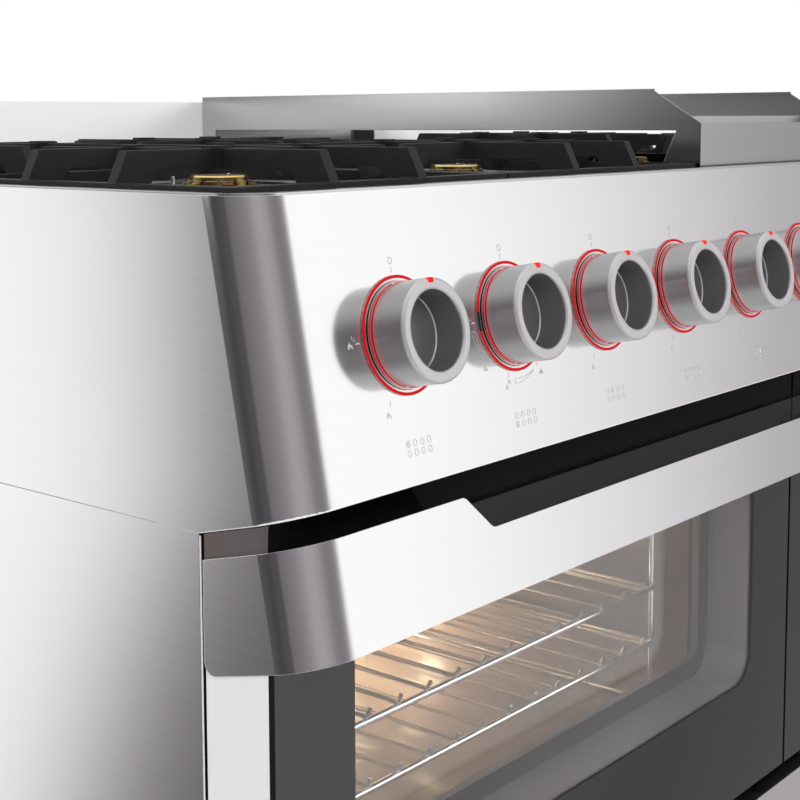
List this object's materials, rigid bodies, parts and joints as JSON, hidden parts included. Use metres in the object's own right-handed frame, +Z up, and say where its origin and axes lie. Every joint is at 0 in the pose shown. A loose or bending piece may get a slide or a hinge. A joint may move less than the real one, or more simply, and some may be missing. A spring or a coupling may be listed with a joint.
{
  "type": "dual fuel range cooker",
  "caption": "Free-standing dual fuel range cooker with a gas hob, a lift-off griddle, twin electric ovens and a storage drawer.",
  "frame": {"origin": "middle of the footprint of the whole range, on the floor", "axes": "+X to the right seen from the front, +Y from the front to the back, +Z up"},
  "size_m": [1.2, 0.7592, 0.971],
  "materials": {
    "brushed_stainless": "fine brushed",
    "polished_stainless": "polished",
    "satin_knob_metal": "satin blasted",
    "plated_steel": "zinc plated",
    "chromed_wire": "bright",
    "grey_enamel": "smooth enamel",
    "black_enamel": "gloss enamel",
    "red_light_guide": "lit translucent",
    "cast_iron": "matt black enamelled",
    "brass": "turned",
    "cast_aluminium": "cast",
    "steel_pipe": "plated",
    "dark_element": "oxidised",
    "door_glass": "dark toughened",
    "lamp_glass": "clear",
    "gasket_rubber": "matt",
    "mineral_wool": "fibrous",
    "foot_steel": "satin"
  },
  "bodies": {
    "cabinet": {"chassis_frame": "plated_steel", "side_panels": "brushed_stainless", "back_panel": "plated_steel", "front_frame": "black_enamel", "toe_plinth": "brushed_stainless", "levelling_feet": "foot_steel", "fascia_shell": "brushed_stainless", "knob_light_rings": "red_light_guide", "hob_pan": "brushed_stainless", "rear_upstand": "polished_stainless", "oven_liners": "grey_enamel", "oven_racks": "chromed_wire", "oven_insulation": "mineral_wool", "oven_elements": "dark_element", "oven_lamps": "lamp_glass", "fan_covers_and_motors": "plated_steel", "gas_rail": "steel_pipe", "burner_bases": "cast_aluminium", "door_gaskets": "gasket_rubber", "selector_and_terminal_box": "plated_steel", "fasteners": "plated_steel"},
    "spindle_body_1": {"spindle_1": "plated_steel"},
    "knob_body_1": {"knob_1": "satin_knob_metal"},
    "spindle_body_2": {"spindle_2": "plated_steel"},
    "knob_body_2": {"knob_2": "satin_knob_metal"},
    "spindle_body_3": {"spindle_3": "plated_steel"},
    "knob_body_3": {"knob_3": "satin_knob_metal"},
    "spindle_body_4": {"spindle_4": "plated_steel"},
    "knob_body_4": {"knob_4": "satin_knob_metal"},
    "spindle_body_5": {"spindle_5": "plated_steel"},
    "knob_body_5": {"knob_5": "satin_knob_metal"},
    "spindle_body_6": {"spindle_6": "plated_steel"},
    "knob_body_6": {"knob_6": "satin_knob_metal"},
    "spindle_body_7": {"spindle_7": "plated_steel"},
    "knob_body_7": {"knob_7": "satin_knob_metal"},
    "spindle_body_8": {"spindle_8": "plated_steel"},
    "knob_body_8": {"knob_8": "satin_knob_metal"},
    "knob_body_9": {"knob_9": "satin_knob_metal"},
    "burner_crown_body_1": {"burner_crown_1": "brass"},
    "burner_crown_body_2": {"burner_crown_2": "brass"},
    "burner_crown_body_3": {"burner_crown_3": "brass"},
    "burner_crown_body_4": {"burner_crown_4": "brass"},
    "burner_crown_body_5": {"burner_crown_5": "brass"},
    "burner_crown_body_6": {"burner_crown_6": "brass"},
    "burner_crown_body_7": {"burner_crown_7": "brass"},
    "burner_crown_body_8": {"burner_crown_8": "brass"},
    "grate_body_left": {"grate_left": "cast_iron"},
    "grate_body_middle": {"grate_middle": "cast_iron"},
    "grate_body_right": {"grate_right": "cast_iron"},
    "griddle": {"griddle_housing": "brushed_stainless", "griddle_plate": "brushed_stainless"},
    "door_left": {"door_frame_left": "brushed_stainless", "door_glass_left": "door_glass", "handle_band_left": "brushed_stainless"},
    "fan_left": {"oven_fan_left": "plated_steel"},
    "door_right": {"door_frame_right": "brushed_stainless", "door_glass_right": "door_glass", "handle_band_right": "brushed_stainless"},
    "fan_right": {"oven_fan_right": "plated_steel"},
    "drawer": {"storage_drawer": "brushed_stainless"}
  },
  "joints": [
    {"name": "knob_1_push", "type": "slide", "parent": "cabinet", "child": "spindle_body_1", "axis": [0, 0.9806, -0.1961], "range_m": [0, 0.004], "stiffness_N_per_m": 1500, "springref_m": -0.002},
    {"name": "knob_1_turn", "type": "hinge", "parent": "spindle_body_1", "child": "knob_body_1", "pos_m": [-0.48, -0.34319, 0.807], "axis": [0, -0.9806, 0.1961], "range_deg": [0, 150]},
    {"name": "knob_2_push", "type": "slide", "parent": "cabinet", "child": "spindle_body_2", "axis": [0, 0.9806, -0.1961], "range_m": [0, 0.004], "stiffness_N_per_m": 1500, "springref_m": -0.002},
    {"name": "knob_2_turn", "type": "hinge", "parent": "spindle_body_2", "child": "knob_body_2", "pos_m": [-0.36, -0.34319, 0.807], "axis": [0, -0.9806, 0.1961], "range_deg": [0, 210]},
    {"name": "knob_3_push", "type": "slide", "parent": "cabinet", "child": "spindle_body_3", "axis": [0, 0.9806, -0.1961], "range_m": [0, 0.004], "stiffness_N_per_m": 1500, "springref_m": -0.002},
    {"name": "knob_3_turn", "type": "hinge", "parent": "spindle_body_3", "child": "knob_body_3", "pos_m": [-0.24, -0.34319, 0.807], "axis": [0, -0.9806, 0.1961], "range_deg": [0, 150]},
    {"name": "knob_4_push", "type": "slide", "parent": "cabinet", "child": "spindle_body_4", "axis": [0, 0.9806, -0.1961], "range_m": [0, 0.004], "stiffness_N_per_m": 1500, "springref_m": -0.002},
    {"name": "knob_4_turn", "type": "hinge", "parent": "spindle_body_4", "child": "knob_body_4", "pos_m": [-0.12, -0.34319, 0.807], "axis": [0, -0.9806, 0.1961], "range_deg": [0, 150]},
    {"name": "knob_5_push", "type": "slide", "parent": "cabinet", "child": "spindle_body_5", "axis": [0, 0.9806, -0.1961], "range_m": [0, 0.004], "stiffness_N_per_m": 1500, "springref_m": -0.002},
    {"name": "knob_5_turn", "type": "hinge", "parent": "spindle_body_5", "child": "knob_body_5", "pos_m": [0, -0.34319, 0.807], "axis": [0, -0.9806, 0.1961], "range_deg": [0, 150]},
    {"name": "knob_6_push", "type": "slide", "parent": "cabinet", "child": "spindle_body_6", "axis": [0, 0.9806, -0.1961], "range_m": [0, 0.004], "stiffness_N_per_m": 1500, "springref_m": -0.002},
    {"name": "knob_6_turn", "type": "hinge", "parent": "spindle_body_6", "child": "knob_body_6", "pos_m": [0.12, -0.34319, 0.807], "axis": [0, -0.9806, 0.1961], "range_deg": [0, 150]},
    {"name": "knob_7_push", "type": "slide", "parent": "cabinet", "child": "spindle_body_7", "axis": [0, 0.9806, -0.1961], "range_m": [0, 0.004], "stiffness_N_per_m": 1500, "springref_m": -0.002},
    {"name": "knob_7_turn", "type": "hinge", "parent": "spindle_body_7", "child": "knob_body_7", "pos_m": [0.24, -0.34319, 0.807], "axis": [0, -0.9806, 0.1961], "range_deg": [0, 150]},
    {"name": "knob_8_push", "type": "slide", "parent": "cabinet", "child": "spindle_body_8", "axis": [0, 0.9806, -0.1961], "range_m": [0, 0.004], "stiffness_N_per_m": 1500, "springref_m": -0.002},
    {"name": "knob_8_turn", "type": "hinge", "parent": "spindle_body_8", "child": "knob_body_8", "pos_m": [0.36, -0.34319, 0.807], "axis": [0, -0.9806, 0.1961], "range_deg": [0, 150]},
    {"name": "oven_knob_turn", "type": "hinge", "parent": "cabinet", "child": "knob_body_9", "pos_m": [0.48, -0.34319, 0.807], "axis": [0, -0.9806, 0.1961], "range_deg": [-270, 0]},
    {"name": "door_left_open", "type": "hinge", "parent": "cabinet", "child": "door_left", "pos_m": [-0.5425, -0.32819, 0.335], "axis": [1, 0, 0], "range_deg": [0, 90]},
    {"name": "door_right_open", "type": "hinge", "parent": "cabinet", "child": "door_right", "pos_m": [0.1636, -0.32819, 0.335], "axis": [1, 0, 0], "range_deg": [0, 90]},
    {"name": "drawer_slide", "type": "slide", "parent": "cabinet", "child": "drawer", "axis": [0, -1, 0], "range_m": [0, 0.4]},
    {"name": "grate_left_lift", "type": "slide", "parent": "cabinet", "child": "grate_body_left", "axis": [0, 0, 1], "range_m": [0, 0.06]},
    {"name": "grate_middle_lift", "type": "slide", "parent": "cabinet", "child": "grate_body_middle", "axis": [0, 0, 1], "range_m": [0, 0.06]},
    {"name": "grate_right_lift", "type": "slide", "parent": "cabinet", "child": "grate_body_right", "axis": [0, 0, 1], "range_m": [0, 0.06]},
    {"name": "burner_crown_1_lift", "type": "slide", "parent": "cabinet", "child": "burner_crown_body_1", "axis": [0, 0, 1], "range_m": [0, 0.06]},
    {"name": "burner_crown_2_lift", "type": "slide", "parent": "cabinet", "child": "burner_crown_body_2", "axis": [0, 0, 1], "range_m": [0, 0.06]},
    {"name": "burner_crown_3_lift", "type": "slide", "parent": "cabinet", "child": "burner_crown_body_3", "axis": [0, 0, 1], "range_m": [0, 0.06]},
    {"name": "burner_crown_4_lift", "type": "slide", "parent": "cabinet", "child": "burner_crown_body_4", "axis": [0, 0, 1], "range_m": [0, 0.06]},
    {"name": "burner_crown_5_lift", "type": "slide", "parent": "cabinet", "child": "burner_crown_body_5", "axis": [0, 0, 1], "range_m": [0, 0.02]},
    {"name": "burner_crown_6_lift", "type": "slide", "parent": "cabinet", "child": "burner_crown_body_6", "axis": [0, 0, 1], "range_m": [0, 0.02]},
    {"name": "burner_crown_7_lift", "type": "slide", "parent": "cabinet", "child": "burner_crown_body_7", "axis": [0, 0, 1], "range_m": [0, 0.06]},
    {"name": "burner_crown_8_lift", "type": "slide", "parent": "cabinet", "child": "burner_crown_body_8", "axis": [0, 0, 1], "range_m": [0, 0.06]},
    {"name": "griddle_lift", "type": "slide", "parent": "cabinet", "child": "griddle", "axis": [0, 0, 1], "range_m": [0, 0.12]},
    {"name": "fan_left_spin", "type": "hinge", "parent": "cabinet", "child": "fan_left", "pos_m": [-0.24745, 0.17681, 0.521], "axis": [0, 1, 0], "continuous": true},
    {"name": "fan_right_spin", "type": "hinge", "parent": "cabinet", "child": "fan_right", "pos_m": [0.35305, 0.17681, 0.521], "axis": [0, 1, 0], "continuous": true}
  ]
}
